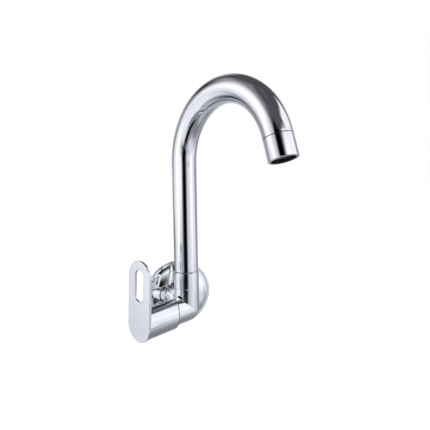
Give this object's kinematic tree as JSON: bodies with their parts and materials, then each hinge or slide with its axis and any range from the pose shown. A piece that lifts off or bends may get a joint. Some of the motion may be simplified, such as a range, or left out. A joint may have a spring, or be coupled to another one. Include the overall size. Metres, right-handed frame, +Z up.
{
  "type": "wall faucet",
  "caption": "Wall-mounted chrome sink tap with a round flange, a tall swivelling swan-neck spout and a slotted quarter-turn side lever.",
  "frame": {"origin": "on the inlet's axis in the wall plane, behind the middle of the wall flange", "axes": "+Y into the wall along the inlet thread, -Y into the room, +Z up along the riser, +X to the right as seen from the room"},
  "size_m": [0.1151, 0.1751, 0.2462],
  "materials": {
    "mirror_chrome": "bright chrome plate on brass, polished to a mirror",
    "turned_brass": "bare turned brass with fine turning marks",
    "black_rubber": "matt black nitrile rubber",
    "gasket_fibre": "red-brown pressed fibre and rubber",
    "white_acetal": "matt white acetal",
    "grey_plastic": "dark grey moulded plastic",
    "stainless_steel": "bare stainless steel",
    "white_ceramic": "lapped white ceramic"
  },
  "bodies": {
    "body": {"body_casting": "mirror_chrome", "wall_flange": "mirror_chrome", "spout_collar": "mirror_chrome", "spout_slip_ring": "white_acetal", "cartridge_bonnet": "turned_brass", "bonnet_gasket": "gasket_fibre", "seat_seal": "black_rubber", "fixed_ceramic_disc": "white_ceramic"},
    "spout": {"spout_tube": "mirror_chrome", "spout_ferrule": "turned_brass", "spout_o_ring_lower": "black_rubber", "spout_o_ring_upper": "black_rubber", "spout_snap_ring": "stainless_steel", "spout_end_bush": "turned_brass", "aerator_shell": "mirror_chrome", "aerator_washer": "black_rubber", "aerator_insert": "grey_plastic", "aerator_inlet_screen": "stainless_steel", "aerator_outlet_grid": "grey_plastic"},
    "lever": {"lever_handle": "mirror_chrome", "lever_dust_ring": "black_rubber", "lever_grub_screw": "stainless_steel", "cartridge_spindle": "turned_brass", "moving_ceramic_disc": "white_ceramic", "spindle_o_ring_inner": "black_rubber", "spindle_o_ring_outer": "black_rubber", "spindle_clip": "stainless_steel"}
  },
  "joints": [
    {"name": "spout_swivel", "type": "hinge", "parent": "body", "child": "spout", "pos_m": [0, -0.032, 0], "axis": [0, 0, 1], "range_deg": [-115, 75]},
    {"name": "lever_turn", "type": "hinge", "parent": "body", "child": "lever", "pos_m": [0, -0.032, -0.008], "axis": [0.891, 0.454, 0], "range_deg": [-4.5, 85.5]}
  ]
}
